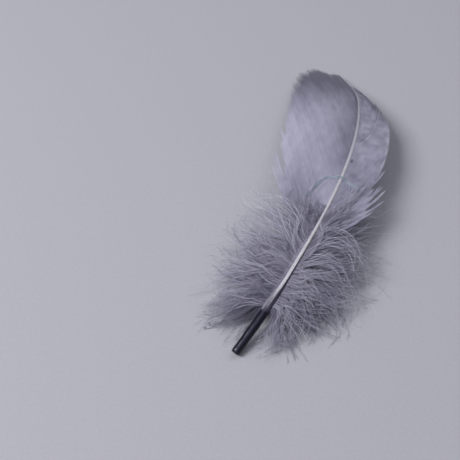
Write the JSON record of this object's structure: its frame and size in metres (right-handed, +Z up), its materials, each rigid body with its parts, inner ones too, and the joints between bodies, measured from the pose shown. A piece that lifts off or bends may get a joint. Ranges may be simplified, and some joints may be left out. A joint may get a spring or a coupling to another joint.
{
  "type": "goose quill feather",
  "caption": "Curved goose feather with a hollow cut quill, a wide and a narrow web and loose down at the base; lies on a surface as craft stock or decoration.",
  "frame": {"origin": "on the surface the feather lies on, under the middle of its bounding box", "axes": "+Y from the cut quill to the tip, +X to the side of the narrow web, +Z up, out of the top side of the feather"},
  "size_m": [0.0616, 0.1532, 0.0153],
  "materials": {
    "quill_horn": "satin horn, silver white along the shaft and indigo black at the cut end",
    "feather_web": "soft matt web of fine barbs, dyed lavender grey",
    "feather_down": "loose fluffy down, dyed lavender grey"
  },
  "bodies": {
    "root": {"quill": "quill_horn", "vane_left": "feather_web", "vane_right": "feather_web", "down_left": "feather_down", "down_right": "feather_down"}
  },
  "joints": []
}
